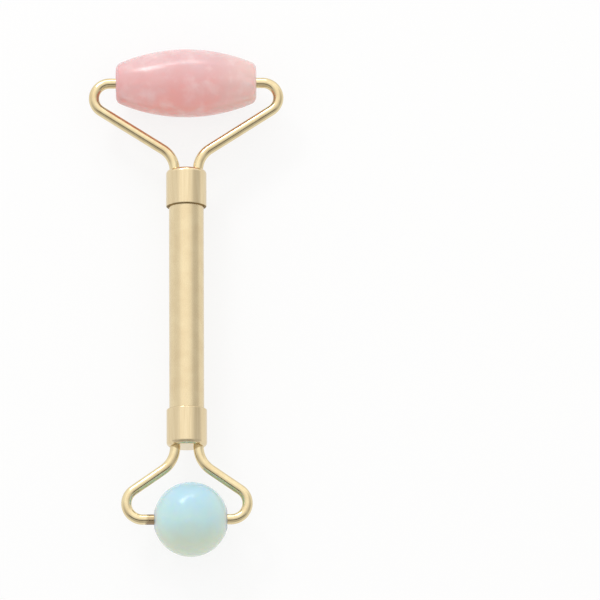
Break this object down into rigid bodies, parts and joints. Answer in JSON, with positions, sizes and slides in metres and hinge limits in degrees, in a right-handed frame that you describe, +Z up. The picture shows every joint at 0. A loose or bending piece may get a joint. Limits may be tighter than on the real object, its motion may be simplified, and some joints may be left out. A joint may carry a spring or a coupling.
{
  "type": "face roller",
  "caption": "Two-ended hand roller for facial massage: a tube handle carries a wire fork at each end, one turning a crowned stone barrel and one a polished ball.",
  "frame": {"origin": "under the middle of the roller as it lies on its barrel and its ball, on the surface it lies on", "axes": "+Y along the handle towards the barrel, +X along both axles, +Z up"},
  "size_m": [0.0562, 0.149, 0.0215],
  "materials": {
    "tube_metal": "pale gold anodised, satin",
    "ferrule_metal": "pressed brass, polished and plated pale gold",
    "wire_metal": "bent wire, polished and plated pale gold",
    "plug_metal": "turned, bare",
    "rose_quartz": "milky pink quartz, ground and polished",
    "opalite": "milky opalescent glass, ground and polished",
    "bush_nylon": "moulded white nylon"
  },
  "bodies": {
    "handle": {"handle_tube": "tube_metal", "head_ferrule": "ferrule_metal", "tail_ferrule": "ferrule_metal", "head_anchor_plug": "plug_metal", "tail_anchor_plug": "plug_metal", "head_arm_left": "wire_metal", "head_arm_right": "wire_metal", "tail_arm_left": "wire_metal", "tail_arm_right": "wire_metal"},
    "barrel": {"barrel_stone": "rose_quartz", "barrel_bush_left": "bush_nylon", "barrel_bush_right": "bush_nylon"},
    "ball": {"ball_stone": "opalite", "ball_bush_left": "bush_nylon", "ball_bush_right": "bush_nylon"}
  },
  "joints": [
    {"name": "barrel_spin", "type": "hinge", "parent": "handle", "child": "barrel", "pos_m": [0, 0.0647, 0.00985], "axis": [1, 0, 0], "continuous": true},
    {"name": "ball_spin", "type": "hinge", "parent": "handle", "child": "ball", "pos_m": [0.0011, -0.0638, 0.01075], "axis": [1, 0, 0], "continuous": true}
  ]
}
